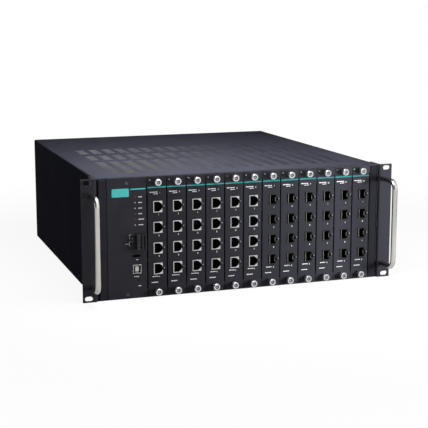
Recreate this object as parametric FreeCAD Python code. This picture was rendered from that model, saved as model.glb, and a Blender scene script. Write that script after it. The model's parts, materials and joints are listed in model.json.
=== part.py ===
import FreeCAD, Part

import math
import os

from FreeCAD import Vector

# Millimetres. X runs to the right seen from the front, Y runs into the depth, Z up.
# Depths are counted from the front face of the rack ears; save() then centres the whole.

# Enclosure
chassis_width = 440.0
chassis_height = 176.0
overall_depth = 523.8
handle_reach = 41.2
sheet = 1.5
cover_bend = 2.5
ear_reach = 21.3
ear_sheet = 2.5
ear_bend = 3.0
ear_flange_depth = 32.0
slot_inset_x = 8.75
slot_inset_z = 5.45
slot_length = 12.0
slot_width = 6.8
handle_bar = 8.0
handle_flat_count = 20
handle_bend = 12.0
handle_inset_x = 13.8
handle_inset_z = 22.5
cut_through = 1.0

# Front frame that the modules screw to
seat_depth = 3.0
rail_depth = 12.0
rail_height = 13.0
post_face = 13.0
post_return = 27.0
screw_groove = 4.6

# Plug-in modules
module_count = 12
copper_modules = 6
control_pitches = 2
bay_inset = 15.25
plate_thickness = 2.0
plate_gap = 0.4
waist_gap = 1.8
plate_margin_z = 0.6
waist_inset_z = 13.0
module_screw_inset = 8.4

# Ports of a module
port_rows = 4
port_pitch = 30.13
port_group_drop = 1.4
port_proud = 0.4
window_gap = 0.25
copper_width = 13.15
copper_height = 16.3
copper_depth = 17.0
copper_rim = 1.0
copper_floor = 3.0
copper_lip = 0.7
copper_notch_height = 8.2
copper_notch_run = 4.4
cage_width = 9.85
cage_height = 14.8
cage_depth = 48.0
cage_wall = 0.6
cage_spring_gap = 2.0
latch_relief_height = 6.4
latch_relief_depth = 2.6

# Circuit board of a module and what guides it
board_thickness = 1.6
board_offset = 7.75
board_inset_z = 16.8
board_end_gap = 4.0
edge_tongue_height = 76.0
edge_tongue_gap = 1.0
board_tab = 10.0
board_tab_inset = 8.0
guide_width = 8.0
guide_floor = 2.0
guide_rib = 4.0
guide_gap = 0.3

# Captive thumbscrews
screw_head = 10.0
head_flat_count = 16
shank_flat_count = 6
screw_head_length = 6.5
screw_stand_off = 2.5
screw_shank = 4.0
screw_hole_gap = 0.2
screw_end_depth = 12.0

# Midplane, switch board and braces
midplane_depth = 175.0
midplane_thickness = 2.4
midplane_inset = 13.5
edge_socket_depth = 11.0
edge_socket_width = 6.0
edge_socket_floor = 2.0
brace_width = 14.0
brace_height = 6.5
brace_offsets = (2.0, 75.0)
switch_board_z = 20.0
switch_board_inset = 18.5
switch_board_gap = 11.6
heatsink_size = 62.0
heatsink_height = 26.0
heatsink_fins = 8
heatsink_pitch = 120.0
standoff_across = 5.5
standoff_flat_count = 6
standoff_inset = 10.0
power_socket_width = 40.0
power_socket_height = 12.0

# Vented fields in the cover, with plain sheet left before and behind each brace; the slot in
# each field stands for its many small holes and opens about as much of it
vent_columns = 17
vent_pitch = 22.1
vent_width = 14.5
vent_border = 3.6
vent_start = 43.5
vent_last = 50.5
brace_lands = ((13.0, 6.5), (15.5, 8.0))

# Control panel and what stands in it, placed from its right edge, the top and the middle
control_board_depth = 14.0
control_post_inset = 6.0
light_count = 6
light_inset = 17.65
light_top_inset = 28.6
light_pitch = 8.04
light_size = 1.8
light_gap = 0.15
header_inset = 10.55
header_drop = 4.9
plug_width = 13.6
plug_height = 21.4
plug_proud = 11.0
plug_insert = 8.0
plug_gap = 0.25
header_wall = 1.2
pin_count = 6
pin_pitch = 3.5
pin_size = 1.0
pin_socket = 1.5
wire_hole = 2.4
wire_hole_depth = 7.5
plug_step = 3.6
storage_inset = 16.35
storage_drop = 25.3
storage_width = 13.1
storage_height = 5.8
storage_tongue = (11.0, 1.8, 0.9)
console_inset = 15.55
console_drop = 45.0
console_width = 12.0
console_height = 12.6
console_tongue = (5.6, 3.2, 0.0)
connector_wall = 0.7
reset_inset = 13.75
reset_drop = 61.6
reset_hole = 2.2
reset_plunger = 3.0
reset_flat_count = 12
reset_housing = 6.0
reset_gap = 0.1

# Rear end and the power modules
rear_recess = 11.0
rear_flange = 12.0
power_width = 110.0
power_height = 84.0
power_depth = 135.0
power_inset = 85.0
power_lift = 1.8
power_gap = 0.5
power_flange = 5.0
power_terminal_width = 46.0
power_terminal_height = 16.0
power_terminal_proud = 8.0
power_terminal_depth = 24.0
power_core_size = 40.0
power_core_height = 34.0
power_core_inset = 20.0
pull_tab_width = 36.0
pull_tab_reach = 9.0

# Derived places
body_depth = overall_depth - handle_reach
half_width = chassis_width / 2
middle_z = chassis_height / 2
inner_half = half_width - sheet
inner_top = chassis_height - sheet
inner_bend = cover_bend - sheet
ear_edge = half_width + ear_reach
bay_half = half_width - bay_inset
module_pitch = 2 * bay_half / (module_count + control_pitches)
opening_half = inner_half - post_face
opening_low = sheet + rail_height
opening_high = inner_top - rail_height
plate_front = seat_depth - plate_thickness
port_front = plate_front - port_proud
plate_low = plate_margin_z
plate_high = chassis_height - plate_margin_z
screw_rows = (module_screw_inset, chassis_height - module_screw_inset)
board_low = board_inset_z
board_high = chassis_height - board_inset_z
board_end = midplane_depth - edge_socket_depth - board_end_gap
edge_tongue_end = midplane_depth - edge_socket_floor - edge_tongue_gap
brace_depths = [midplane_depth + offset for offset in brace_offsets]
rear_face = body_depth - rear_recess
power_x = half_width - power_inset
switch_board_half_width = inner_half - switch_board_inset
switch_board_end = rear_face - power_depth - switch_board_gap
control_right = -bay_half + control_pitches * module_pitch
light_x = control_right - light_inset
light_top_z = chassis_height - light_top_inset
header_x = control_right - header_inset
header_z = middle_z - header_drop
header_width = plug_width + 2 * (plug_gap + header_wall)
header_height = plug_height + 2 * (plug_gap + header_wall)
storage_x = control_right - storage_inset
storage_z = middle_z - storage_drop
console_x = control_right - console_inset
console_z = middle_z - console_drop
reset_x = control_right - reset_inset
reset_z = middle_z - reset_drop
standoff_radius = standoff_across / (2 * math.cos(math.pi / standoff_flat_count))


def block(x0, x1, y0, y1, z0, z1):
    """An upright box between two corners."""
    return Part.makeBox(x1 - x0, y1 - y0, z1 - z0, Vector(x0, y0, z0))


def rod(radius, x, z, y0, y1):
    """A round bar that runs in depth."""
    return Part.makeCylinder(radius, y1 - y0, Vector(x, y0, z), Vector(0, 1, 0))


def outline(points):
    """A flat face inside a closed outline."""
    return Part.Face(Part.makePolygon(points + [points[0]]))


def front_section(points, y0, y1):
    """A section given as (x, z), drawn along the depth."""
    return outline([Vector(x, y0, z) for x, z in points]).extrude(Vector(0, y1 - y0, 0))


def plan_section(points, z0, z1):
    """A section given as (x, y), drawn upwards."""
    return outline([Vector(x, y, z0) for x, y in points]).extrude(Vector(0, 0, z1 - z0))


def mirrored(shape):
    """The same piece on the other side of the chassis."""
    return shape.mirror(Vector(0, 0, 0), Vector(1, 0, 0))


def both_sides(shape):
    return [shape, mirrored(shape)]


def clear_of_bends(shape):
    """The same piece with its top outer edges bevelled, to pass under the cover's bends."""
    corners = edges_along(shape, Vector(0, 1, 0),
                          lambda c: abs(c.x) > inner_half - cut_through and c.z > inner_top - cut_through)
    return shape.makeChamfer(inner_bend, corners)


def fuse(shapes):
    return shapes[0].multiFuse(shapes[1:]).removeSplitter()


def moved(shape, x=0, y=0, z=0):
    copy = shape.copy()
    copy.translate(Vector(x, y, z))
    return copy


def edges_along(shape, direction, test):
    """Straight edges parallel to a direction whose centre passes a test."""
    found = []
    for edge in shape.Edges:
        if not isinstance(edge.Curve, Part.Line):
            continue
        if abs(edge.tangentAt(edge.FirstParameter).dot(direction)) > 0.999 and test(edge.CenterOfMass):
            found.append(edge)
    return found


def save(name, solids):
    """Writes one node, with the origin under the centre of the whole."""
    shape = solids[0] if len(solids) == 1 else Part.makeCompound(solids)
    moved(shape, y=handle_reach - overall_depth / 2).exportStep("parts/%s.step" % name)


def polygon(radius, sides, centre_x, centre_y):
    """Corners of a regular polygon, with a flat towards its first axis."""
    turn = 2 * math.pi / sides
    return [(centre_x + radius * math.cos(turn * (side + 0.5)),
             centre_y + radius * math.sin(turn * (side + 0.5))) for side in range(sides)]


def flat_rod(radius, flats, x, z, y0, y1):
    """A bar in depth with a few flats, for small round details that repeat."""
    return front_section(polygon(radius, flats, x, z), y0, y1)


# Enclosure


def vent_rows():
    """Start and end of each row of vented fields, from the front."""
    rows = []
    start = vent_start
    for depth, (before, behind) in zip(brace_depths, brace_lands):
        rows.append((start, depth - before))
        start = depth + behind
    return rows + [(start, start + vent_last)]


def top_cover():
    """The folded sheet over the top and both sides, with a slot through each vented field."""
    outer = block(-half_width, half_width, seat_depth, body_depth, 0, chassis_height)
    top_edges = edges_along(outer, Vector(0, 1, 0), lambda c: c.z > inner_top)
    outer = outer.makeFillet(cover_bend, top_edges)
    hollow = block(-inner_half, inner_half, seat_depth, body_depth, 0, inner_top)
    inner_edges = edges_along(hollow, Vector(0, 1, 0), lambda c: c.z > inner_top - sheet)
    hollow = hollow.makeFillet(inner_bend, inner_edges)
    slots = []
    slot_half = vent_width / 2 - vent_border
    for start, end in vent_rows():
        for column in range(vent_columns):
            x = (column - (vent_columns - 1) / 2) * vent_pitch
            slots.append(block(x - slot_half, x + slot_half, start + vent_border, end - vent_border,
                               inner_top - cut_through, chassis_height + cut_through))
    return outer.cut(hollow).cut(Part.makeCompound(slots))


def base_tray():
    """The bottom sheet with its sides turned up inside the cover, and its board standoffs."""
    tray = block(-inner_half, inner_half, seat_depth, body_depth, 0, sheet)
    flange = block(inner_half - sheet, inner_half, seat_depth + post_return + sheet,
                   rear_face - rear_flange, 0, switch_board_z)
    posts = []
    side = switch_board_half_width - standoff_inset
    for x in (-side, 0, side):
        for y in (midplane_depth + midplane_thickness + standoff_inset, switch_board_end - standoff_inset):
            posts.append(plan_section(polygon(standoff_radius, standoff_flat_count, x, y), sheet / 2, switch_board_z))
    return fuse([tray] + both_sides(flange) + posts)


def front_frame():
    """Two grooved rails between two folded posts; the front plates seat on its front face."""
    rails = []
    for low, screw_z in ((sheet, screw_rows[0]), (opening_high, screw_rows[1])):
        rail = block(-opening_half, opening_half, seat_depth, seat_depth + rail_depth, low, low + rail_height)
        groove = block(-bay_half, bay_half, seat_depth, seat_depth + rail_depth - sheet,
                       screw_z - screw_groove / 2, screw_z + screw_groove / 2)
        rails.append(rail.cut(groove))
    front = seat_depth
    post = plan_section([
        (opening_half, front), (inner_half, front), (inner_half, front + post_return),
        (inner_half - sheet, front + post_return), (inner_half - sheet, front + sheet),
        (opening_half + sheet, front + sheet), (opening_half + sheet, front + rail_depth),
        (opening_half, front + rail_depth)], sheet, inner_top)
    return fuse(rails + both_sides(clear_of_bends(post)))


def right_ear():
    """The folded rack ear, with two slots for the rack's screws."""
    inner_x = half_width
    ear = plan_section([
        (inner_x, 0), (ear_edge, 0), (ear_edge, ear_sheet), (inner_x + ear_sheet, ear_sheet),
        (inner_x + ear_sheet, ear_flange_depth), (inner_x, ear_flange_depth)], 0, chassis_height)
    bend = edges_along(ear, Vector(0, 0, 1), lambda c: abs(c.x - inner_x) < 0.01 and abs(c.y) < 0.01)
    ear = ear.makeFillet(ear_bend, bend)
    reach = (slot_length - slot_width) / 2
    x = ear_edge - slot_inset_x
    back = ear_sheet + cut_through
    for z in (slot_inset_z, chassis_height - slot_inset_z):
        slot = fuse([
            block(x - reach, x + reach, -cut_through, back, z - slot_width / 2, z + slot_width / 2),
            rod(slot_width / 2, x - reach, z, -cut_through, back),
            rod(slot_width / 2, x + reach, z, -cut_through, back)])
        ear = ear.cut(slot)
    return ear


def right_handle():
    """The round bar handle, bent at both ends and seated on the ear."""
    x = ear_edge - handle_inset_x
    low = handle_inset_z
    high = chassis_height - handle_inset_z
    out = -(handle_reach - handle_bar / 2)
    bend = handle_bend
    turn = bend * (1 - math.sqrt(0.5))
    path = Part.Wire([
        Part.LineSegment(Vector(x, 0, low), Vector(x, out + bend, low)).toShape(),
        Part.Arc(Vector(x, out + bend, low), Vector(x, out + turn, low + turn),
                 Vector(x, out, low + bend)).toShape(),
        Part.LineSegment(Vector(x, out, low + bend), Vector(x, out, high - bend)).toShape(),
        Part.Arc(Vector(x, out, high - bend), Vector(x, out + turn, high - turn),
                 Vector(x, out + bend, high)).toShape(),
        Part.LineSegment(Vector(x, out + bend, high), Vector(x, 0, high)).toShape()])
    corners = [Vector(a, 0, b) for a, b in polygon(handle_bar / 2, handle_flat_count, x, low)]
    return path.makePipeShell([Part.makePolygon(corners + [corners[0]])], True, False)


def cover_braces():
    """Channels across the chassis, under the cover, that the cover screws into."""
    top = inner_top
    foot = inner_top - brace_height
    braces = []
    for y in brace_depths:
        y0 = y - brace_width / 2
        y1 = y + brace_width / 2
        points = [(y0, foot), (y0, top), (y1, top), (y1, foot), (y1 - sheet, foot),
                  (y1 - sheet, top - sheet), (y0 + sheet, top - sheet), (y0 + sheet, foot)]
        half = inner_half - inner_bend
        section = outline([Vector(-half, y, z) for y, z in points])
        braces.append(section.extrude(Vector(2 * half, 0, 0)))
    return braces


def rear_panel():
    """The rear sheet, folded forwards all round, with an opening for each power module."""
    pan = block(-inner_half, inner_half, rear_face - rear_flange, rear_face, sheet, inner_top)
    hollow = block(-inner_half + sheet, inner_half - sheet, rear_face - rear_flange, rear_face - sheet,
                   2 * sheet, inner_top - sheet)
    reach = power_width / 2 + power_gap
    window = block(power_x - reach, power_x + reach, rear_face - rear_flange, rear_face, 0,
                   power_lift + power_height + power_gap)
    return clear_of_bends(pan).cut(Part.makeCompound([hollow] + both_sides(window)))


# Plug-in modules, drawn about their own centre line


def port_heights():
    first = middle_z - port_group_drop - (port_rows - 1) * port_pitch / 2
    return [first + row * port_pitch for row in range(port_rows)]


def plate_outline(left, right, waist_left, waist_right):
    """A front plate that is narrower between its two screw ends."""
    return [(left, plate_low), (right, plate_low), (right, waist_inset_z),
            (waist_right, waist_inset_z), (waist_right, chassis_height - waist_inset_z),
            (right, chassis_height - waist_inset_z), (right, plate_high), (left, plate_high),
            (left, chassis_height - waist_inset_z), (waist_left, chassis_height - waist_inset_z),
            (waist_left, waist_inset_z), (left, waist_inset_z)]


def copper_window(z):
    return block(board_offset - copper_width - window_gap, board_offset + window_gap,
                 0, seat_depth, z - copper_height / 2 - window_gap, z + copper_height / 2 + window_gap)


def cage_window(z):
    """The opening for a fibre cage, with a round relief for its latch."""
    left = board_offset - cage_width - cage_spring_gap
    right = board_offset + window_gap
    half = cage_height / 2 + window_gap
    relief = latch_relief_height / 2
    return front_section([
        (left, z - half), (right, z - half), (right, z - relief), (right + latch_relief_depth, z - relief / 2),
        (right + latch_relief_depth, z + relief / 2), (right, z + relief), (right, z + half),
        (left, z + half)], 0, seat_depth)


def module_panel(window):
    """The front plate of a module, with two tabs that hold its board."""
    half = module_pitch / 2
    plate = front_section(plate_outline(-half + plate_gap / 2, half - plate_gap / 2,
                                        -half + waist_gap / 2, half - waist_gap / 2),
                          plate_front, seat_depth)
    cuts = [window(z) for z in port_heights()]
    for z in screw_rows:
        cuts.append(flat_rod(screw_shank / 2 + screw_hole_gap, shank_flat_count, 0, z, 0, seat_depth))
    plate = plate.cut(Part.makeCompound(cuts))
    face = board_offset + board_thickness
    tabs = [block(face, face + sheet, plate_front + sheet, seat_depth + board_tab, z, z + board_tab)
            for z in (board_low + board_tab_inset, board_high - board_tab_inset - board_tab)]
    return fuse([plate] + tabs)


def thumbscrew(x, z):
    """A captive screw: a knurled round head that stands off the plate, and its shank."""
    head_back = plate_front - screw_stand_off
    head_front = head_back - screw_head_length
    head = flat_rod(screw_head / 2, head_flat_count, x, z, head_front, head_back)
    shank = flat_rod(screw_shank / 2, shank_flat_count, x, z, head_back, screw_end_depth)
    return fuse([head, shank])


def copper_port(z):
    """A shielded jack on its side: the latch notch points away from the board's solder side."""
    left = board_offset - copper_width
    right = board_offset
    inner = copper_height / 2 - copper_rim
    notch = copper_notch_height / 2
    shell = block(left, right, port_front, port_front + copper_depth,
                  z - copper_height / 2, z + copper_height / 2)
    mouth = front_section([
        (left + copper_rim, z - inner), (right - copper_lip - copper_notch_run, z - inner),
        (right - copper_lip, z - notch), (right - copper_lip, z + notch),
        (right - copper_lip - copper_notch_run, z + inner), (left + copper_rim, z + inner)],
        port_front, port_front + copper_depth - copper_floor)
    return shell.cut(mouth)


def cage_port(z):
    """A fibre cage: a thin sheet box, open at the front."""
    left = board_offset - cage_width
    cage = block(left, board_offset, port_front, port_front + cage_depth,
                 z - cage_height / 2, z + cage_height / 2)
    return cage.cut(block(left + cage_wall, board_offset - cage_wall,
                          port_front, port_front + cage_depth - cage_wall,
                          z - cage_height / 2 + cage_wall, z + cage_height / 2 - cage_wall))


def module_board(port):
    """The circuit board, narrowed to a tongue for its socket, and the ports along its front edge."""
    low = middle_z - edge_tongue_height / 2
    high = middle_z + edge_tongue_height / 2
    points = [(seat_depth, board_low), (board_end, board_low), (board_end, low), (edge_tongue_end, low),
              (edge_tongue_end, high), (board_end, high), (board_end, board_high), (seat_depth, board_high)]
    face = outline([Vector(board_offset, y, z) for y, z in points])
    board = face.extrude(Vector(board_thickness, 0, 0))
    return [board] + [port(z) for z in port_heights()]


def module_x(index):
    """Centre line of a module, counted from the left."""
    return -bay_half + module_pitch * (control_pitches + index + 0.5)


def card_guides():
    """Grooved strips that carry the modules' boards, below and above."""
    centre = board_offset + board_thickness / 2
    half = guide_width / 2
    groove = board_thickness / 2 + guide_gap
    floor = opening_low + guide_floor
    top = floor + guide_rib
    section = [(centre - half, opening_low), (centre + half, opening_low), (centre + half, top),
               (centre + groove, top), (centre + groove, floor), (centre - groove, floor),
               (centre - groove, top), (centre - half, top)]
    lower = front_section(section, seat_depth + sheet, midplane_depth)
    upper = front_section([(x, opening_low + opening_high - z) for x, z in section],
                          seat_depth + sheet, midplane_depth)
    return [moved(guide, x=module_x(index)) for index in range(module_count) for guide in (lower, upper)]


def midplane_board():
    """The board that the modules plug into, with an edge socket for each."""
    board = block(-inner_half + midplane_inset, inner_half - midplane_inset, midplane_depth,
                  midplane_depth + midplane_thickness, sheet, inner_top - sheet)
    centre = board_offset + board_thickness / 2
    front = midplane_depth - edge_socket_depth
    half_height = edge_tongue_height / 2 + guide_gap + edge_socket_floor
    socket = block(centre - edge_socket_width / 2, centre + edge_socket_width / 2, front, midplane_depth,
                   middle_z - half_height, middle_z + half_height)
    groove = board_thickness / 2 + guide_gap
    slot = block(centre - groove, centre + groove, front, midplane_depth - edge_socket_floor,
                 middle_z - half_height + edge_socket_floor,
                 middle_z + half_height - edge_socket_floor)
    socket = socket.cut(slot)
    return [board] + [moved(socket, x=module_x(index)) for index in range(module_count)]


def heatsink(x, y, z):
    """A finned block over one of the switch chips."""
    half = heatsink_size / 2
    pitch = heatsink_size / (2 * heatsink_fins - 1)
    base = 2 * sheet
    points = [(x - half, z), (x + half, z)]
    for fin in range(heatsink_fins):
        right = x + half - 2 * fin * pitch
        points += [(right, z + heatsink_height), (right - pitch, z + heatsink_height)]
        if fin < heatsink_fins - 1:
            points += [(right - pitch, z + base), (right - 2 * pitch, z + base)]
    return front_section(points, y - half, y + half)


def switch_board():
    """The switching board behind the midplane, its heat sinks and the two power sockets."""
    start = midplane_depth + midplane_thickness
    top = switch_board_z + board_thickness
    board = block(-switch_board_half_width, switch_board_half_width, start, switch_board_end,
                  switch_board_z, top)
    middle = (start + switch_board_end) / 2
    sinks = [heatsink(x, middle, top) for x in (-heatsink_pitch, 0, heatsink_pitch)]
    socket = block(power_x - power_socket_width / 2, power_x + power_socket_width / 2,
                   switch_board_end - power_socket_height, switch_board_end, top, top + power_socket_height)
    return [board] + sinks + both_sides(socket)


# Control panel


def light_heights():
    return [light_top_z - row * light_pitch for row in range(light_count)]


def control_panel():
    """The wide front plate, cut for its lights, connectors and reset hole, with four standoffs."""
    right = control_right
    left = -bay_half + plate_gap / 2
    plate = front_section(plate_outline(left, right - plate_gap / 2, left, right - waist_gap / 2),
                          plate_front, seat_depth)
    cuts = [flat_rod(reset_hole / 2, reset_flat_count, reset_x, reset_z, 0, seat_depth)]
    reach = light_size / 2 + light_gap
    for z in light_heights():
        cuts.append(block(light_x - reach, light_x + reach, 0, seat_depth, z - reach, z + reach))
    for x, z, width, height in ((header_x, header_z, header_width, header_height),
                                (storage_x, storage_z, storage_width, storage_height),
                                (console_x, console_z, console_width, console_height)):
        cuts.append(block(x - width / 2 - window_gap, x + width / 2 + window_gap, 0, seat_depth,
                          z - height / 2 - window_gap, z + height / 2 + window_gap))
    plate = plate.cut(Part.makeCompound(cuts))
    inset = control_post_inset
    posts = [flat_rod(standoff_radius, standoff_flat_count, x, z, seat_depth - sheet, control_board_depth)
             for x in (-bay_half + inset, right - inset) for z in (opening_low + inset, opening_high - inset)]
    return fuse([plate] + posts)


def control_board():
    """The connector board behind the panel, its reset switch body, and the processor board."""
    right = control_right
    back = control_board_depth + board_thickness
    front_board = block(-bay_half + sheet, right - sheet, control_board_depth, back,
                        opening_low + sheet, opening_high - sheet)
    half = reset_housing / 2
    housing = block(reset_x - half, reset_x + half, control_board_depth - reset_housing, control_board_depth,
                    reset_z - half, reset_z + half)
    bore = flat_rod(reset_plunger / 2 + reset_gap, reset_flat_count, reset_x, reset_z, 0, control_board_depth - sheet)
    x = (-bay_half + right) / 2
    processor_board = block(x, x + board_thickness, back, midplane_depth, board_low, board_high)
    return [front_board, housing.cut(bore), processor_board]


def reset_button():
    """The plunger of the reset switch, reached through the small hole."""
    return flat_rod(reset_plunger / 2, reset_flat_count, reset_x, reset_z,
                    seat_depth + sheet, control_board_depth - 2 * sheet)


def status_lights():
    """Square light pipes from the board to the panel's face."""
    half = light_size / 2
    return [block(light_x - half, light_x + half, port_front, control_board_depth, z - half, z + half)
            for z in light_heights()]


def pin_heights():
    return [header_z + (pin - (pin_count - 1) / 2) * pin_pitch for pin in range(pin_count)]


def terminal_header():
    """The fixed half of the terminal block: a shroud with one pin a pole."""
    floor = seat_depth + plug_insert - plate_thickness + plug_gap
    shell = block(header_x - header_width / 2, header_x + header_width / 2, port_front, control_board_depth,
                  header_z - header_height / 2, header_z + header_height / 2)
    inside_x = plug_width / 2 + plug_gap
    inside_z = plug_height / 2 + plug_gap
    shell = shell.cut(block(header_x - inside_x, header_x + inside_x, port_front, floor,
                            header_z - inside_z, header_z + inside_z))
    pins = [block(header_x - pin_size / 2, header_x + pin_size / 2, seat_depth, floor + sheet,
                  z - pin_size / 2, z + pin_size / 2) for z in pin_heights()]
    return fuse([shell] + pins)


def terminal_plug():
    """The plug that pulls off, with its wire entries in front and its pin sockets behind."""
    front = plate_front - plug_proud
    back = plate_front + plug_insert
    body = block(header_x - plug_width / 2, header_x + plug_width / 2, front, back,
                 header_z - plug_height / 2, header_z + plug_height / 2)
    step = block(header_x - plug_width / 2, header_x, front, front + plug_step,
                 header_z - plug_height / 2, header_z + plug_height / 2)
    cuts = [step]
    for z in pin_heights():
        cuts.append(block(header_x - pin_socket / 2, header_x + pin_socket / 2, plate_front, back,
                          z - pin_socket / 2, z + pin_socket / 2))
        wire_x = header_x + plug_width / 4
        cuts.append(block(wire_x - wire_hole / 2, wire_x + wire_hole / 2, front, front + wire_hole_depth,
                          z - wire_hole / 2, z + wire_hole / 2))
    return body.cut(Part.makeCompound(cuts))


def connector(x, z, width, height, tongue):
    """A metal connector shell with its contact tongue inside: its width, height and rise."""
    tongue_width, tongue_height, tongue_z = tongue
    shell = block(x - width / 2, x + width / 2, port_front, control_board_depth, z - height / 2, z + height / 2)
    wall = connector_wall
    floor = control_board_depth - 2 * sheet
    shell = shell.cut(block(x - width / 2 + wall, x + width / 2 - wall, port_front, floor,
                            z - height / 2 + wall, z + height / 2 - wall))
    tongue = block(x - tongue_width / 2, x + tongue_width / 2, plate_front + sheet, floor + sheet,
                   z + tongue_z - tongue_height / 2, z + tongue_z + tongue_height / 2)
    return fuse([shell, tongue])


def storage_port():
    return connector(storage_x, storage_z, storage_width, storage_height, storage_tongue)


def console_port():
    return connector(console_x, console_z, console_width, console_height, console_tongue)


# Power modules, drawn on the right-hand side


def power_case():
    """A closed sheet case with a wider rear plate."""
    half = power_width / 2
    top = power_lift + power_height
    start = rear_face - power_depth
    case = block(power_x - half, power_x + half, start, rear_face, power_lift, top)
    plate = block(power_x - half - power_flange, power_x + half + power_flange, rear_face,
                  rear_face + sheet, power_lift, top + power_flange)
    hollow = block(power_x - half + sheet, power_x + half - sheet, start, rear_face,
                   power_lift + sheet, top - sheet)
    window = block(power_x - power_terminal_width / 2 - window_gap,
                   power_x + power_terminal_width / 2 + window_gap, rear_face, rear_face + sheet,
                   power_lift + power_height / 2 - power_terminal_height / 2 - window_gap,
                   power_lift + power_height / 2 + power_terminal_height / 2 + window_gap)
    tab = block(power_x - pull_tab_width / 2, power_x + pull_tab_width / 2, rear_face,
                rear_face + pull_tab_reach, top + power_flange - sheet, top + power_flange)
    return fuse([case, plate, tab]).cut(Part.makeCompound([hollow, window]))


def power_board():
    """The power board on the case's floor, with its transformer, capacitors and input terminals."""
    half = power_width / 2 - 2 * sheet
    start = rear_face - power_depth + sheet
    low = power_lift + sheet
    top = low + 2 * board_thickness
    board = block(power_x - half, power_x + half, start, rear_face - sheet, low, top)
    core = block(power_x - power_core_size / 2, power_x + power_core_size / 2,
                 start + power_core_inset, start + power_core_inset + power_core_size,
                 top, top + power_core_height)
    mid = power_lift + power_height / 2
    points = [(rear_face - power_terminal_depth, top), (rear_face - 2 * sheet, top),
              (rear_face - 2 * sheet, mid - power_terminal_height / 2),
              (rear_face + power_terminal_proud, mid - power_terminal_height / 2),
              (rear_face + power_terminal_proud, mid + power_terminal_height / 2),
              (rear_face - power_terminal_depth, mid + power_terminal_height / 2)]
    face = outline([Vector(power_x - power_terminal_width / 2, y, z) for y, z in points])
    terminals = face.extrude(Vector(power_terminal_width, 0, 0))
    return [board, core, terminals]


def build():
    os.makedirs("parts", exist_ok=True)
    save("top_cover", [top_cover()])
    save("base_tray", [base_tray()])
    save("front_frame", [front_frame()])
    save("cover_braces", cover_braces())
    save("rear_panel", [rear_panel()])
    ear = right_ear()
    save("right_ear", [ear])
    save("left_ear", [mirrored(ear)])
    handle = right_handle()
    save("right_handle", [handle])
    save("left_handle", [mirrored(handle)])
    save("card_guides", card_guides())
    save("midplane_board", midplane_board())
    save("switch_board", switch_board())
    save("control_panel", [control_panel()])
    save("control_board", control_board())
    save("reset_button", [reset_button()])
    save("status_lights", status_lights())
    save("terminal_header", [terminal_header()])
    save("terminal_plug", [terminal_plug()])
    save("storage_port", [storage_port()])
    save("console_port", [console_port()])
    case = power_case()
    board = power_board()
    save("power_module_2_case", [case])
    save("power_module_2_board", board)
    save("power_module_1_case", [mirrored(case)])
    save("power_module_1_board", [mirrored(solid) for solid in board])
    copper = (module_panel(copper_window), module_board(copper_port))
    fibre = (module_panel(cage_window), module_board(cage_port))
    screws = [thumbscrew(0, z) for z in screw_rows]
    for index in range(module_count):
        panel, board = copper if index < copper_modules else fibre
        x = module_x(index)
        name = "module_%02d" % (index + 1)
        save(name + "_panel", [moved(panel, x=x)])
        save(name + "_board", [moved(solid, x=x) for solid in board])
        save(name + "_screws", [moved(solid, x=x) for solid in screws])


build()
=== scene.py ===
import json
import math

import bmesh
import bpy
from mathutils import Matrix, Vector


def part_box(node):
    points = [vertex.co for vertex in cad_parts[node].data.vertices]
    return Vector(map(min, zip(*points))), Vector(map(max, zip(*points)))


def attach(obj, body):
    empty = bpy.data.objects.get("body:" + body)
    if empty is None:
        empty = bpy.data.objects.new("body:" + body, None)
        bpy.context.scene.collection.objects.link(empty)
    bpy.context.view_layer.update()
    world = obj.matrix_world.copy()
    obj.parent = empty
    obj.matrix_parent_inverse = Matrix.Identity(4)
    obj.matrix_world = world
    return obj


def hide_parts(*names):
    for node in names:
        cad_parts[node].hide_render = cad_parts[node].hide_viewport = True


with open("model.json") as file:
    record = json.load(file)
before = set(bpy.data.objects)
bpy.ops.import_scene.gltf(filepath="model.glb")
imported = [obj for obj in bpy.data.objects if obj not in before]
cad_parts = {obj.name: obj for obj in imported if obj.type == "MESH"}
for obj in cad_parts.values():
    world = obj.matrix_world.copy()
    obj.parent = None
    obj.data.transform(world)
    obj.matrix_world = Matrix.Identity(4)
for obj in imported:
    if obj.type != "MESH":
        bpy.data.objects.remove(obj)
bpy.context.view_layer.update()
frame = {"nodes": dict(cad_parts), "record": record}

# Measures are in millimetres in the frame of the CAD part: x to the right, y into the depth, z up.
mm = 0.001
small = 0.01
touching = 0.001  # corners this near become one


def nodeBox(name):
    low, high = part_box(name)
    return [value / mm for value in low], [value / mm for value in high]


moduleNames = ["module_%02d" % number for number in range(1, 13)]
moduleX = []
for moduleName in moduleNames:
    panelLow, panelHigh = nodeBox(moduleName + "_panel")
    moduleX.append((panelLow[0] + panelHigh[0]) / 2)
copperCount = 6
plateY = nodeBox("module_01_panel")[0][1]  # front face of the plates
openings = {opening["name"]: opening["box_m"] for opening in frame["record"]["physics"]["openings"]}
portZ = []
for number in range(1, 5):
    mouthLow, mouthHigh = openings["jack_01_%d" % number]
    portZ.append((mouthLow[2] + mouthHigh[2]) / 2 / mm)


# Small helpers for modelling

facings = {"front": (math.pi / 2, 0, 0), "left": (0, -math.pi / 2, 0), "right": (0, math.pi / 2, 0),
           "rear": (-math.pi / 2, 0, 0), "up": (0, 0, 0)}


def metres(*values):
    return [value * mm for value in values]


def atEase():
    if bpy.context.object and bpy.context.object.mode != "OBJECT":
        bpy.ops.object.mode_set(mode="OBJECT")
    bpy.ops.object.select_all(action="DESELECT")


def takeUp(piece):
    atEase()
    piece.select_set(True)
    bpy.context.view_layer.objects.active = piece


def openUp(piece, mode="FACE"):
    takeUp(piece)
    bpy.ops.object.mode_set(mode="EDIT")
    bpy.ops.mesh.select_mode(type=mode)
    bpy.ops.mesh.select_all(action="SELECT")


def closeUp():
    bpy.ops.object.mode_set(mode="OBJECT")


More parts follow.
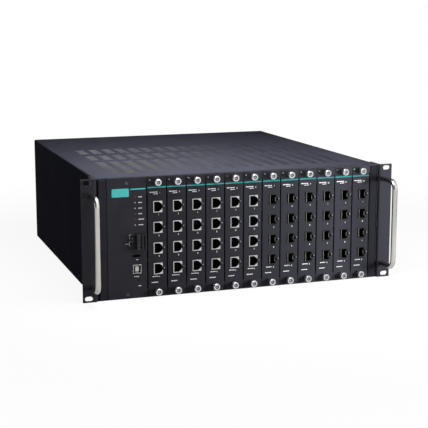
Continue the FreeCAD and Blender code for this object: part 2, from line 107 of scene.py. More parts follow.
def pick(piece, test, kind="faces"):  # in edit mode, selects what passes the test, in millimetres
    mesh = bmesh.from_edit_mesh(piece.data)
    for part in list(mesh.verts) + list(mesh.edges) + list(mesh.faces):
        part.select = False
    for part in getattr(mesh, kind):
        if kind == "faces":
            passed = test(part.calc_center_median() / mm, part.normal)
        elif kind == "edges":
            ends = [corner.co / mm for corner in part.verts]
            passed = test((ends[0] + ends[1]) / 2, (ends[1] - ends[0]).normalized())
        else:
            passed = test(part.co / mm)
        if passed:
            part.select_set(True)
    bmesh.update_edit_mesh(piece.data)


def divide(axis, places):  # in edit mode, cuts right across the piece at each place
    normal = [int(number == axis) for number in range(3)]
    for place in places:
        bpy.ops.mesh.select_all(action="SELECT")
        bpy.ops.mesh.bisect(plane_co=metres(*(part * place for part in normal)), plane_no=normal)


def drawOut(y=0, z=0):  # in edit mode, draws the picked faces out
    bpy.ops.mesh.extrude_region_move(TRANSFORM_OT_translate={"value": metres(0, y, z)})


def stretch(factors, centre):  # in edit mode, scales what is picked
    bpy.ops.transform.resize(value=factors, center_override=metres(*centre))


def mend():  # in edit mode, joins corners that touch and turns the faces outward
    bpy.ops.mesh.select_all(action="SELECT")
    bpy.ops.mesh.remove_doubles(threshold=touching * mm)
    bpy.ops.mesh.normals_make_consistent(inside=False)


def settle(piece):  # the place, turn and size go into the mesh
    takeUp(piece)
    bpy.ops.object.transform_apply(location=True, rotation=True, scale=True)
    return piece


def applyAll(piece):
    takeUp(piece)
    for modifier in list(piece.modifiers):
        bpy.ops.object.modifier_apply(modifier=modifier.name)
    return piece


def roundEdges(piece, width, steps=1, angle=30):
    bevel = piece.modifiers.new("edges", "BEVEL")
    bevel.width = width * mm
    bevel.segments = steps
    bevel.limit_method = "ANGLE"
    bevel.angle_limit = math.radians(angle)
    bevel.use_clamp_overlap = True
    return applyAll(piece)


def smooth(piece, angle=35):
    takeUp(piece)
    bpy.ops.object.shade_smooth_by_angle(angle=math.radians(angle))
    return piece


def paint(piece, *names):
    piece.data.materials.clear()
    for name in names:
        piece.data.materials.append(finishes[name])
    return piece


def secondFinish(piece, test):  # faces that pass take the second finish
    for face in piece.data.polygons:
        face.material_index = int(test(face.center / mm, face.normal))


def middleOf(low, high):
    return [(a + b) / 2 for a, b in zip(low, high)]


def spaced(middle, count, pitch):
    return [middle + (number - (count - 1) / 2) * pitch for number in range(count)]


def block(name, low, high, rounding=0.2, steps=1):
    atEase()
    size = metres(*(b - a for a, b in zip(low, high)))
    bpy.ops.mesh.primitive_cube_add(size=1, location=metres(*middleOf(low, high)), scale=size)
    piece = settle(bpy.context.object)
    piece.name = name
    return roundEdges(piece, rounding, steps)


def plane(name, centre, wide, tall, turn=(0, 0, 0)):
    atEase()
    bpy.ops.mesh.primitive_plane_add(size=1, location=metres(*centre), rotation=turn)
    piece = bpy.context.object
    piece.scale = (*metres(wide, tall), 1)
    piece.name = name
    return settle(piece)


def blockAt(name, centre, size, rounding=0.2, steps=1):  # the same by its centre and size
    return block(name, [a - b / 2 for a, b in zip(centre, size)], [a + b / 2 for a, b in zip(centre, size)],
                 rounding, steps)


def barrel(name, centre, radius, length, sides, axis="y"):  # a cylinder to start a turned piece from
    atEase()
    turn = facings[{"x": "right", "y": "front", "z": "up"}[axis]]
    bpy.ops.mesh.primitive_cylinder_add(vertices=sides, radius=radius * mm, depth=length * mm,
                                        location=metres(*centre), rotation=turn)
    piece = settle(bpy.context.object)
    piece.name = name
    return piece


def twin(piece, name, x=0, y=0, z=0):  # a copy with its own mesh, moved within it
    copy = piece.copy()
    copy.data = piece.data.copy()
    copy.data.transform(Matrix.Translation(metres(x, y, z)))
    copy.name = name
    bpy.context.collection.objects.link(copy)
    return copy


def joined(pieces, name):
    takeUp(pieces[0])
    for piece in pieces[1:]:
        piece.select_set(True)
    if len(pieces) > 1:
        bpy.ops.object.join()
    whole = bpy.context.object
    whole.name = name
    return whole


def carve(piece, cutter, operation="DIFFERENCE"):
    cut = piece.modifiers.new("cut", "BOOLEAN")
    cut.operation = operation
    cut.solver = "EXACT"
    cut.object = cutter
    applyAll(piece)
    bpy.data.objects.remove(cutter)
    return piece


def fromNode(node, name):  # a merged copy of a CAD node's form, to be finished further
    source = frame["nodes"][node]
    copy = source.copy()
    copy.data = source.data.copy()
    copy.parent = None
    copy.name = name
    for key in list(copy.keys()):
        del copy[key]
    bpy.context.collection.objects.link(copy)
    takeUp(copy)
    if copy.data.has_custom_normals:
        bpy.ops.mesh.customdata_custom_splitnormals_clear()
    openUp(copy)
    bpy.ops.mesh.remove_doubles(threshold=small * mm)
    bpy.ops.mesh.dissolve_limited(angle_limit=math.radians(0.5))
    closeUp()
    bpy.ops.object.shade_flat()
    return copy


def apart(piece):  # the loose solids of a piece, one object each
    openUp(piece)
    bpy.ops.mesh.separate(type="LOOSE")
    closeUp()
    return list(bpy.context.selected_objects)


def extent(piece):
    corners = [corner.co / mm for corner in piece.data.vertices]
    return ([min(c[axis] for c in corners) for axis in range(3)],
            [max(c[axis] for c in corners) for axis in range(3)])


def mount(piece, body, stands=()):
    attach(piece, body)
    if stands:
        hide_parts(*stands)
    return piece


# Finishes


def linear(*colour):  # a colour as seen, 0 to 255, to the shader's own scale
    values = [value / 255 for value in colour]
    return [value / 12.92 if value <= 0.04045 else ((value + 0.055) / 1.055) ** 2.4 for value in values] + [1]


def feed(tree, node, entries):  # an entry takes a value, or a pair of a node and its output
    for entry, value in entries.items():
        if isinstance(value, tuple) and isinstance(value[0], bpy.types.Node):
            source, output = value
            tree.links.new(source.outputs[output], node.inputs[entry])
        else:
            node.inputs[entry].default_value = value


def addNode(tree, kind, entries=None, **settings):
    node = tree.nodes.new("ShaderNode" + kind)
    for name, value in settings.items():
        setattr(node, name, value)
    feed(tree, node, entries or {})
    return node


def maths(tree, operation, first, second):
    return addNode(tree, "Math", {0: first, 1: second}, operation=operation), "Value"


def along(tree, place, axis):
    return addNode(tree, "SeparateXYZ", {"Vector": place}), axis


def spread(tree, value, before, after, **settings):  # turns one range of a value into another
    ends = dict(zip(("From Min", "From Max", "To Min", "To Max"), (*before, *after)))
    return addNode(tree, "MapRange", {"Value": value, **ends}, **settings), "Result"


def nodeOfType(tree, kind):
    return next(node for node in tree.nodes if node.type == kind)


grainValues = {"stops": (0.3, 0.7), "mottleDetail": 4, "grainDetail": 2, "strength": 0.4}


def finish(name, look):  # two mottled tones, a roughness that varies, and a fine raised grain
    material = bpy.data.materials.new(name)
    material.use_nodes = True
    tree = material.node_tree
    place = addNode(tree, "TexCoord")
    stretch = addNode(tree, "Mapping", {"Vector": (place, "Object"), "Scale": look.get("stretch", (1, 1, 1))})
    mottle = addNode(tree, "TexNoise", {"Vector": (stretch, "Vector"), "Scale": look["mottle"],
                                      "Detail": grainValues["mottleDetail"]})
    tones = addNode(tree, "ValToRGB", {"Fac": (mottle, "Fac")})
    for stop, position, tone in zip(tones.color_ramp.elements, grainValues["stops"], look["tones"]):
        stop.position = position
        stop.color = linear(*tone)
    grain = addNode(tree, "TexNoise", {"Vector": (stretch, "Vector"), "Scale": look["grain"],
                                     "Detail": grainValues["grainDetail"]})
    raised = addNode(tree, "Bump", {"Height": (grain, "Fac"), "Strength": grainValues["strength"],
                                    "Distance": look["height"] * mm})
    feed(tree, tree.nodes["Principled BSDF"], {
        "Base Color": (tones, "Color"), "Roughness": spread(tree, (grain, "Fac"), (0, 1), look["rough"]),
        "Normal": (raised, "Normal"), "Metallic": look.get("metal", 0), "Coat Weight": look.get("coat", 0),
        "Specular IOR Level": look.get("gloss", 0.5), "Emission Strength": 0})
    return material


def layOver(material, share, tone):  # a further tone over the mottled ones
    tree = material.node_tree
    mix = addNode(tree, "MixRGB", {"Fac": share, "Color1": (nodeOfType(tree, "VALTORGB"), "Color"),
                                   "Color2": linear(*tone)})
    feed(tree, tree.nodes["Principled BSDF"], {"Base Color": (mix, "Color")})


def fadeAcross(material, start, end, tone):  # the tones turn into another along x
    tree = material.node_tree
    x = along(tree, (nodeOfType(tree, "TEX_COORD"), "Object"), "X")
    layOver(material, spread(tree, x, metres(start, end), (0, 1)), tone)


def drawTracks(material, scale, pitch, share, tone):  # a board's tracks under its solder mask
    tree = material.node_tree
    cells = addNode(tree, "TexVoronoi", {"Vector": (nodeOfType(tree, "MAPPING"), "Vector"), "Scale": scale},
                    distance="CHEBYCHEV", feature="F1")
    rings = maths(tree, "PINGPONG", (cells, "Distance"), pitch)
    layOver(material, maths(tree, "GREATER_THAN", rings, pitch * share), tone)


paintGrain = {"rough": (0.42, 0.6), "mottle": 40, "grain": 1500, "height": 0.02}
screwGrain = {"mottle": 500, "grain": 2200, "height": 0.01}
shieldGrain = {"mottle": 220, "grain": 900, "height": 0.008}
plasticGrain = {"mottle": 80, "grain": 1800, "height": 0.02}
inkGrain = {"rough": (0.5, 0.62), "gloss": 0.2, "mottle": 300, "grain": 1800, "height": 0.006}
lensGrain = {"rough": (0.12, 0.25), "coat": 0.4, "mottle": 400, "grain": 900, "height": 0.01}
looks = {
    "blackPaint": {**paintGrain, "tones": ((41, 41, 47), (47, 47, 53)), "gloss": 0.12},
    # a darker copy of the black paint for the ears, painted shade; over the right ear it turns to one
    # slightly lighter tone
    "earPaint": {**paintGrain, "tones": ((38, 38, 43), (44, 44, 49)), "gloss": 0.12},
    # a painted highlight on the fold of the left ear
    "wornEdge": {**paintGrain, "tones": ((104, 104, 108), (128, 128, 132)), "rough": (0.4, 0.55),
                 "gloss": 0.2},
    # the black paint of the front frame and trims, with painted shade: darker towards the right
    "framePaint": {**paintGrain, "tones": ((41, 41, 47), (47, 47, 53)), "gloss": 0.05},
    # a darker copy of the black paint for the module plates, with painted light: lighter towards the right
    "platePaint": {**paintGrain, "tones": ((34, 34, 39), (40, 40, 45)), "gloss": 0.09},
    "coverPaint": {**paintGrain, "tones": ((62, 63, 72), (67, 68, 78)), "rough": (0.42, 0.58), "gloss": 0,
                   "mottle": 25},
    # walls of the vent holes: a light grey for the cut edges, with painted light, lighter towards the left
    "cutEdge": {"tones": ((136, 134, 136), (152, 150, 151)), "rough": (0.5, 0.65), "gloss": 0, "mottle": 400,
                "grain": 1500, "height": 0.01},
    "zincSteel": {"tones": ((150, 152, 155), (172, 174, 176)), "rough": (0.35, 0.55), "metal": 1,
                  "mottle": 120, "grain": 600, "height": 0.01},
    "nickelBar": {"tones": ((186, 184, 179), (200, 198, 193)), "rough": (0.16, 0.24), "metal": 1,
                  "stretch": (1, 1, 0.05), "mottle": 900, "grain": 2600, "height": 0.006},
    "brightScrew": {**screwGrain, "tones": ((202, 203, 206), (220, 221, 224)), "rough": (0.26, 0.4),
                    "metal": 1},
    # dull grey: the whole screws on the power modules, and painted shade in the cup of the thumbscrews
    "screwCup": {**screwGrain, "tones": ((92, 92, 94), (106, 106, 108)), "rough": (0.5, 0.65), "gloss": 0},
    "darkScrew": {**screwGrain, "tones": ((70, 71, 76), (88, 89, 94)), "rough": (0.35, 0.5), "metal": 0.8},
    "tinShield": {**shieldGrain, "tones": ((186, 186, 184), (204, 204, 202)), "rough": (0.3, 0.44),
                  "metal": 0.8},
    "brightShield": {**shieldGrain, "tones": ((230, 230, 228), (242, 242, 240)), "rough": (0.45, 0.6),
                     "metal": 0.2},
    "darkShield": {**shieldGrain, "tones": ((58, 58, 58), (70, 70, 70)), "rough": (0.35, 0.5), "metal": 1},
    # a lighter copy of the cage's metal for its rim and spring tongue: painted highlight
    "lipSteel": {**shieldGrain, "tones": ((160, 158, 148), (178, 176, 166)), "rough": (0.4, 0.55),
                 "metal": 0.7},
    "cageSteel": {**shieldGrain, "tones": ((56, 54, 46), (72, 69, 59)), "rough": (0.35, 0.5), "metal": 1},
    "blackPlastic": {**plasticGrain, "tones": ((16, 16, 18), (23, 23, 25)), "rough": (0.4, 0.55),
                     "gloss": 0.35},
    # near black: the plastic inside the jacks, and also the front strip of each module board; painted shade
    # inside the metal cages and shells and in the gaps beside the ears; painted shadow in the strips beside
    # the cages
    "mouthPlastic": {**plasticGrain, "tones": ((7, 7, 8), (11, 11, 12)), "rough": (0.6, 0.75), "gloss": 0.1},
    "goldContact": {"tones": ((72, 60, 34), (90, 76, 42)), "rough": (0.22, 0.34), "metal": 1, "mottle": 500,
                    "grain": 2000, "height": 0.004},
    "tealInk": {**inkGrain, "tones": ((80, 192, 191), (92, 206, 205))},
    "stripeInk": {**inkGrain, "tones": ((56, 158, 156), (64, 170, 168))},
    "whiteInk": {**inkGrain, "tones": ((226, 226, 229), (240, 240, 242)), "rough": (0.55, 0.65)},
    "whitePlastic": {"tones": ((214, 214, 212), (228, 228, 226)), "rough": (0.35, 0.5), "gloss": 0.4,
                     "mottle": 200, "grain": 1500, "height": 0.01},
    "redLens": {**lensGrain, "tones": ((104, 36, 42), (126, 46, 50))},
    "clearLens": {**lensGrain, "tones": ((150, 152, 156), (176, 178, 182))},
    "sinkAluminium": {"tones": ((150, 152, 156), (168, 170, 174)), "rough": (0.32, 0.48), "metal": 1,
                      "stretch": (1, 0.1, 1), "mottle": 300, "grain": 1200, "height": 0.01},
    "chipPlastic": {"tones": ((24, 24, 27), (32, 32, 35)), "rough": (0.5, 0.65), "gloss": 0.3, "mottle": 200,
                    "grain": 2500, "height": 0.01},
    "circuitBoard": {"tones": ((16, 62, 40), (22, 76, 48)), "rough": (0.28, 0.42), "gloss": 0.5, "mottle": 90,
                     "grain": 700, "height": 0.03},
}
# Painted light and shade along x: the plates turn lighter and the front frame darker towards the right; the
# walls of the vent holes are lighter towards the left; over the right ear the ear paint turns to one slightly
# lighter tone; the stripe ink turns darker towards the right.
fades = {"cutEdge": (-150, 90, (66, 67, 76)), "stripeInk": (-140, 190, (46, 136, 134)),
         "earPaint": (150, 220, (43, 43, 49)), "framePaint": (150, 205, (31, 31, 36)),
         "platePaint": (-200, 130, (53, 53, 60))}
trackValues = {"scale": 110, "pitch": 0.16, "share": 0.6, "tone": (30, 84, 54)}

finishes = {name: finish(name, look) for name, look in looks.items()}
for name, fade in fades.items():
    fadeAcross(finishes[name], *fade)
drawTracks(finishes["circuitBoard"], **trackValues)
print("finishes ready:", len(finishes))

plainNodes = {"base_tray": "blackPaint", "cover_braces": "zincSteel", "card_guides": "blackPlastic",
              "terminal_header": "blackPlastic", "reset_button": "blackPlastic"}
for node, finishName in plainNodes.items():
    paint(frame["nodes"][node], finishName)
print("plain CAD nodes painted")


# Floor, light and camera

studio = {"floor": 12.0, "white": 0.92, "clearRange": (0.35, 0.95), "world": 0.009, "floorLight": 0.03,
          "floorSeen": 0.9, "floorRough": 0.9, "floorRange": (-0.5, 0.0), "floorLoss": (0, 0.92),
          "sideRange": (-0.62, -0.15), "sideLight": (0.1, 1.4), "behindRange": (-0.2, 0.6),
          "behindLight": (1, 0.06)}
lamps = {
    "keyLamp": {"place": (520, -560, 130), "aim": (60, -200, 90), "size": 0.2, "power": 5.9,
                "mirrored": False},
    "fillLamp": {"place": (500, -2600, 700), "aim": (0, -200, 90), "size": 1.4, "power": 0.6},
    "sideLamp": {"place": (-1700, 100, 300), "aim": (-220, 0, 90), "size": 0.6, "power": 1.6},
    "rearLamp": {"place": (-350, 1900, 260), "aim": (0, 260, 88), "size": 0.8, "power": 14},
    "topLamp": {"place": (-60, -255, 545), "aim": (-40, -60, 170), "size": 0.3, "power": 4.2},
}
camera = {"target": (23.9, -20.7, 101.0), "turn": -19.28, "rise": 10.0, "distance": 1784.2,
          "lens": 91.31, "sensor": 36, "shift": -0.0356, "nearest": 0.05}


def seenWhite(tree, white):  # nothing for light, the white for the eye and in reflections
    path = addNode(tree, "LightPath")
    seen = maths(tree, "MAXIMUM", (path, "Is Camera Ray"), (path, "Is Glossy Ray"))
    seen = maths(tree, "MAXIMUM", seen, (path, "Is Transmission Ray"))
    return maths(tree, "MULTIPLY", seen, white)


def mirroredOnly(tree):
    return addNode(tree, "LightPath"), "Is Glossy Ray"


def behindDim(tree, place):  # in reflections alone, the floor gets dark behind the front
    loss = spread(tree, along(tree, place, "Y"), studio["floorRange"], studio["floorLoss"])
    return maths(tree, "SUBTRACT", 1, maths(tree, "MULTIPLY", mirroredOnly(tree), loss))


def addFloor():
    atEase()
    bpy.ops.mesh.primitive_plane_add(size=studio["floor"], location=(0, 0, 0))
    floor = bpy.context.object
    floor.name = "floor"
    material = bpy.data.materials.new("paleFloor")
    material.use_nodes = True
    tree = material.node_tree
    shader = tree.nodes["Principled BSDF"]
    place = (addNode(tree, "TexCoord"), "Object")
    away = addNode(tree, "VectorMath", {0: place}, operation="LENGTH")
    clear = spread(tree, (away, "Value"), studio["clearRange"], (studio["white"], 1),
                   interpolation_type="SMOOTHSTEP")
    dim = behindDim(tree, place)
    tone = addNode(tree, "MixRGB", {"Fac": seenWhite(tree, dim), "Color1": [studio["floorLight"]] * 3 + [1],
                                    "Color2": [studio["floorSeen"]] * 3 + [1]})
    feed(tree, shader, {"Base Color": (tone, "Color"), "Roughness": studio["floorRough"],
                        "Specular IOR Level": 0})
    glow = addNode(tree, "Emission")
    blend = addNode(tree, "MixShader", {0: seenWhite(tree, maths(tree, "MULTIPLY", clear, dim)),
                                        1: (shader, "BSDF"), 2: (glow, "Emission")})
    feed(tree, tree.nodes["Material Output"], {"Surface": (blend, "Shader")})
    floor.data.materials.append(material)


def addWorld():  # what metal mirrors is dark towards the left and behind
    world = bpy.data.worlds.new("studio")
    bpy.context.scene.world = world
    world.use_nodes = True
    tree = world.node_tree
    plain = maths(tree, "ADD", seenWhite(tree, 1 - studio["world"]), studio["world"])
    place = (addNode(tree, "TexCoord"), "Generated")
    side = spread(tree, along(tree, place, "X"), studio["sideRange"], studio["sideLight"])
    behind = spread(tree, along(tree, place, "Y"), studio["behindRange"], studio["behindLight"])
    light = addNode(tree, "Mix", {"Factor": mirroredOnly(tree), "A": plain,
                                  "B": maths(tree, "MULTIPLY", side, behind)})
    feed(tree, tree.nodes["Background"], {"Color": (1, 1, 1, 1), "Strength": (light, "Result")})


def addLamps():
    for name, lamp in lamps.items():
        light = bpy.data.lights.new(name, "AREA")
        light.shape = "SQUARE"
        light.size = lamp["size"]
        light.energy = lamp["power"]
        holder = bpy.data.objects.new(name, light)
        bpy.context.collection.objects.link(holder)
        holder.location = Vector(lamp["place"]) * mm
        holder.visible_glossy = lamp.get("mirrored", True)
        aim = Vector(lamp["aim"]) * mm - holder.location
        holder.rotation_euler = aim.to_track_quat("-Z", "Y").to_euler()


def addCamera():
    lens = bpy.data.cameras.new("camera")
    lens.lens = camera["lens"]
    lens.sensor_width = camera["sensor"]
    lens.shift_y = camera["shift"]
    lens.clip_start = camera["nearest"]
    holder = bpy.data.objects.new("camera", lens)
    bpy.context.collection.objects.link(holder)
    turn, rise = math.radians(camera["turn"]), math.radians(camera["rise"])
    back = Vector((math.sin(turn) * math.cos(rise), -math.cos(turn) * math.cos(rise), math.sin(rise)))
    holder.location = (Vector(camera["target"]) + back * camera["distance"]) * mm
    holder.rotation_euler = (-back).to_track_quat("-Z", "Y").to_euler()
    bpy.context.scene.camera = holder


addFloor()
addWorld()
addLamps()
addCamera()
bpy.context.scene.view_settings.view_transform = "Standard"
print("studio ready")

# Cover: a folded sheet with its vented fields cut out, and a honeycomb of holes in each field

coverValues = {"sheet": 1.5, "bend": 2.5, "bendSteps": 5, "border": 3.6, "ventReach": 200, "holesAcross": 4,
               "hole": 1.3, "rowDepth": 2.8, "screw": 2.9, "screwSunk": 0.45, "screwGap": 0.25, "margin": 1}
coverScrews = ([(x, 10.5) for x in (-168.8, 0, 168.8)]
               + [(x, y) for x in (-106.5, 106.5) for y in (177.0, 250.0)]
               + [(x, 465.0) for x in (-168.8, -84.4, 0, 84.4, 168.8)])
frameFront = nodeBox("front_frame")[0][1]


def ventFields():  # edges of the fields across and along: the part's slots and a border round each
    low, high = nodeBox("top_cover")
    border, margin = coverValues["border"], coverValues["margin"]
    across, back = set(), set()
    for corner in frame["nodes"]["top_cover"].data.vertices:
        x, y, z = corner.co / mm
        inside = abs(x) < coverValues["ventReach"] and low[1] + margin < y < high[1] - margin
        if inside and high[2] - z < small:
            across.add(round(x, 2))
            back.add(round(y, 2))
    return [[(a - border, b + border) for a, b in zip(edges[::2], edges[1::2])]
            for edges in (sorted(across), sorted(back))]


def flatSheet(name, low, high, z):
    return plane(name, (*middleOf(low[:2], high[:2]), z), high[0] - low[0], high[1] - low[1])


def thicken(piece, thickness):
    wall = piece.modifiers.new("thickness", "SOLIDIFY")
    wall.thickness = thickness * mm
    wall.offset = -1
    wall.use_even_offset = True
    return applyAll(piece)


def makeCover():
    low, high = nodeBox("top_cover")
    top = high[2]
    columns, rows = ventFields()
    piece = flatSheet("cover_sheet", low, high, top)
    openUp(piece)
    divide(0, [edge for column in columns for edge in column])
    divide(1, [edge for row in rows for edge in row])
    pick(piece, lambda c, n: any(a < c.x < b for a, b in columns) and any(a < c.y < b for a, b in rows))
    bpy.ops.mesh.delete(type="FACE")
    bpy.ops.mesh.select_mode(type="EDGE")
    pick(piece, lambda c, d: abs(c.x) > high[0] - small, "edges")
    bpy.ops.mesh.extrude_edges_move(TRANSFORM_OT_translate={"value": metres(0, 0, low[2] - top)})
    pick(piece, lambda c, d: abs(c.x) > high[0] - small and c.z > top - small, "edges")
    bpy.ops.mesh.bevel(offset=coverValues["bend"] * mm, segments=coverValues["bendSteps"], affect="EDGES")
    closeUp()
    thicken(piece, coverValues["sheet"])
    radius, sunk = coverValues["screw"], coverValues["screwSunk"]
    seats = [barrel("seat", (x, y + frameFront, top), radius, 2 * sunk, 24, "z") for x, y in coverScrews]
    carve(piece, joined(seats, "seats"))
    smooth(paint(piece, "coverPaint"), 25)
    mount(piece, "chassis", ["top_cover"])


def ventTile(x, y, z, pitch, depth):  # a flat tile with a six-sided hole, which repeats in bricks
    atEase()
    radius = coverValues["hole"]
    bpy.ops.mesh.primitive_circle_add(vertices=6, radius=radius * mm, fill_type="NOTHING",
                                      location=metres(x, y, z))
    piece = settle(bpy.context.object)
    openUp(piece, "EDGE")
    side = radius * math.cos(math.pi / 6)
    bpy.ops.mesh.extrude_edges_move(TRANSFORM_OT_translate={"value": (0, 0, 0)})
    stretch((pitch / 2 / side, depth / radius, 1), (x, y, z))
    bpy.ops.mesh.select_mode(type="VERT")
    pick(piece, lambda c: abs(c.x - x) < small and abs(c.y - y) > radius + small, "verts")
    stretch((1, 0.5, 1), (x, y, z))
    closeUp()
    return piece


def repeat(piece, name, count, step, merge=True):
    row = piece.modifiers.new(name, "ARRAY")
    row.count = count
    row.use_relative_offset = False
    row.use_constant_offset = True
    row.constant_offset_displace = metres(*step)
    row.use_merge_vertices = merge
    row.merge_threshold = touching * mm
    return applyAll(piece)


def faceUp(piece):
    openUp(piece)
    mend()
    closeUp()
    if piece.data.polygons[0].normal.z < 0:
        openUp(piece)
        bpy.ops.mesh.flip_normals()
        closeUp()
    return piece


def makeVents():
    top = nodeBox("top_cover")[1][2]
    columns, rows = ventFields()
    left, right = columns[0]
    count = coverValues["holesAcross"]
    pitch = (right - left) / (count + 0.5)
    for number, (start, end) in enumerate(rows):
        pairs = round((end - start) / coverValues["rowDepth"] / 2)
        depth = (end - start) / pairs / 2
        even = ventTile(left + pitch / 2, start + depth / 2, top, pitch, depth)
        repeat(even, "holes", count, (pitch, 0, 0))
        odd = twin(even, "odd", x=pitch / 2, y=depth)
        last = flatSheet("last", (right - pitch / 2, start), (right, start + depth), top)
        first = flatSheet("first", (left, start + depth), (left + pitch / 2, start + 2 * depth), top)
        piece = faceUp(joined([even, odd, last, first], "vent_row_%d" % (number + 1)))
        repeat(piece, "rows", pairs, (0, 2 * depth, 0))
        thicken(piece, coverValues["sheet"])
        repeat(piece, "fields", len(columns), (columns[1][0] - left, 0, 0), merge=False)
        paint(piece, "coverPaint", "cutEdge")
        secondFinish(piece, lambda c, n: abs(n.z) < 0.5)  # walls of the holes: cut edges with painted light
        mount(piece, "chassis", ["top_cover"])


makeCover()
makeVents()
print("cover and vents made")


# Handles: a round bar bent at both ends

handleValues = {"sides": 32, "bend": 12.0, "bendSteps": 10}


def makeHandle(side):
    node = side + "_handle"
    low, high = nodeBox(node)
    bar = high[0] - low[0]
    x = (low[0] + high[0]) / 2
    foot, out = high[1], low[1] + bar / 2
    bottom, top = low[2] + bar / 2, high[2] - bar / 2
    bend = handleValues["bend"]
    atEase()
    bpy.ops.mesh.primitive_circle_add(vertices=handleValues["sides"], radius=bar / 2 * mm, fill_type="NGON",
                                      location=metres(x, foot, bottom), rotation=facings["front"])
    piece = settle(bpy.context.object)
    piece.name = node + "_bar"
    openUp(piece)
    for y, z, corner in ((out + bend - foot, 0, bottom + bend), (0, top - bottom - 2 * bend, top - bend)):
        drawOut(y, z)
        bpy.ops.mesh.spin(steps=handleValues["bendSteps"], angle=math.pi / 2, axis=(1, 0, 0),
                          center=metres(x, out + bend, corner))
    drawOut(foot - out - bend)
    mend()
    closeUp()
    smooth(paint(piece, "nickelBar"), 35)
    mount(piece, "chassis", [node])


for side in ("left", "right"):
    makeHandle(side)
print("handles made")


# Plates and folded sheets: the part's own forms, with their edges broken

stripValues = {"inner": 205.3, "outer": 216.2, "end": 1.8}
sheetValues = {"edge": 0.25, "fold": 0.5, "nearFold": 0.6}


def makeEar(node):  # its folded corner is rounder, and on the left ear the fold takes a lighter finish, a painted highlight
    ear = roundEdges(fromNode(node, node + "_sheet"), sheetValues["edge"])
    inner = min(abs(corner.co.x / mm) for corner in ear.data.vertices)
    front = extent(ear)[0][1]
    fold, near = sheetValues["fold"], sheetValues["nearFold"]
    openUp(ear, "EDGE")
    pick(ear, lambda c, d: abs(d.z) > 0.99 and abs(c.x) < inner + fold and c.y < front + fold, "edges")
    bpy.ops.mesh.bevel(offset=fold * mm, segments=2, affect="EDGES")
    closeUp()
    paint(ear, "earPaint", "wornEdge")
    if node == "left_ear":
        secondFinish(ear, lambda c, n: (0.2 < abs(n.y) < 0.98 and abs(n.z) < 0.1
                                        and abs(c.x) < inner + near and c.y < front + near))
    mount(ear, "chassis", [node])


def makeFront():  # the front faces in the gaps beside the ears take the near-black finish, painted shade in the gaps
    outer = stripValues["outer"]
    front = roundEdges(fromNode("front_frame", "front_frame_sheet"), sheetValues["edge"])
    openUp(front)
    divide(0, (-outer, outer))
    closeUp()
    paint(front, "framePaint", "mouthPlastic")
    # painted shade: the gaps beside the ears near black
    secondFinish(front, lambda c, n: abs(c.x) > outer and n.y < -0.5)
    mount(front, "chassis", ["front_frame"])


for moduleName in moduleNames:
    plate = roundEdges(fromNode(moduleName + "_panel", moduleName + "_plate"), sheetValues["edge"])
    mount(paint(plate, "platePaint"), moduleName, [moduleName + "_panel"])
panel = roundEdges(fromNode("control_panel", "control_panel_sheet"), sheetValues["edge"])
mount(paint(panel, "blackPaint"), "chassis", ["control_panel"])
makeEar("left_ear")
makeEar("right_ear")
makeFront()

frameTop = nodeBox("front_frame")[1][2]
for side, name in ((-1, "left_trim"), (1, "right_trim")):  # beside the plates, flush with them
    ends = sorted((side * stripValues["inner"], side * stripValues["outer"]))
    trim = block(name, (ends[0], plateY, stripValues["end"]),
                 (ends[1], frameFront, frameTop - stripValues["end"] / 2), 0.25)
    mount(paint(trim, "framePaint"), "chassis")
print("plates made")


# Ports

portValues = {"lip": 0.12, "notchRun": 3.1, "notchReach": 3.4, "notchEnd": 2.4, "notchDepth": 3.2,
              "contacts": 8, "contactPitch": 1.02, "contactWidth": 0.36, "contactThick": 0.3,
              "contactStart": 4.4, "contactEnd": 11.5, "contactInset": 1.5, "contactRise": 2.6,
              "contactEdge": 0.06, "dark": 0.2}
cageValues = {"gasket": 1.1, "shadowStripProud": 0.08, "edge": 0.4, "edgeProud": 0.05, "tongueX": 6.2,
              "tongueWide": 0.5, "tongueHeight": 6.2, "tongueStart": 0.3, "tongueThick": 0.7, "tuck": 0.1,
              "shadowStripDepth": 0.3, "edgeInset": 0.3}


def cutNotch(port):  # the latch notch runs out through the shield's right side
    values = portValues
    low, high = extent(port)
    middle = (low[2] + high[2]) / 2
    reach = values["notchReach"]
    cutter = block("notch", (high[0] - values["notchRun"], low[1] - 1, middle - reach),
                   (high[0] + 1, low[1] + values["notchDepth"], middle + reach), 0.05)
    openUp(cutter, "VERT")
    pick(cutter, lambda c: c.x > high[0], "verts")
    stretch((1, 1, values["notchEnd"] / reach), (0, 0, middle))
    closeUp()
    return carve(port, cutter)


def darkenInside(piece, depth, wall=0.3):  # faces within the mouth take the second finish, near black: the black plastic of the jacks, and painted shade on the metal walls of the cages and shells
    low, high = extent(piece)
    secondFinish(piece, lambda c, n: (low[0] + wall < c.x < high[0] - wall and c.y > low[1] + depth
                                      and low[2] + wall < c.z < high[2] - wall))


def jackContacts(port):
    values = portValues
    low, high = extent(port)
    middle = (low[2] + high[2]) / 2
    x = low[0] + values["contactInset"]
    start, end = low[1] + values["contactStart"], low[1] + values["contactEnd"]
    first = spaced(middle, values["contacts"], values["contactPitch"])[0]
    half = values["contactWidth"] / 2
    spring = block("contact", (x, start, first - half), (x + values["contactThick"], end, first + half),
                   values["contactEdge"])
    openUp(spring, "VERT")
    pick(spring, lambda c: c.y < start + 1, "verts")
    bpy.ops.transform.translate(value=metres(values["contactRise"], 0, 0))
    closeUp()
    return [spring] + [twin(spring, "contact", z=values["contactPitch"] * number)
                       for number in range(1, values["contacts"])]


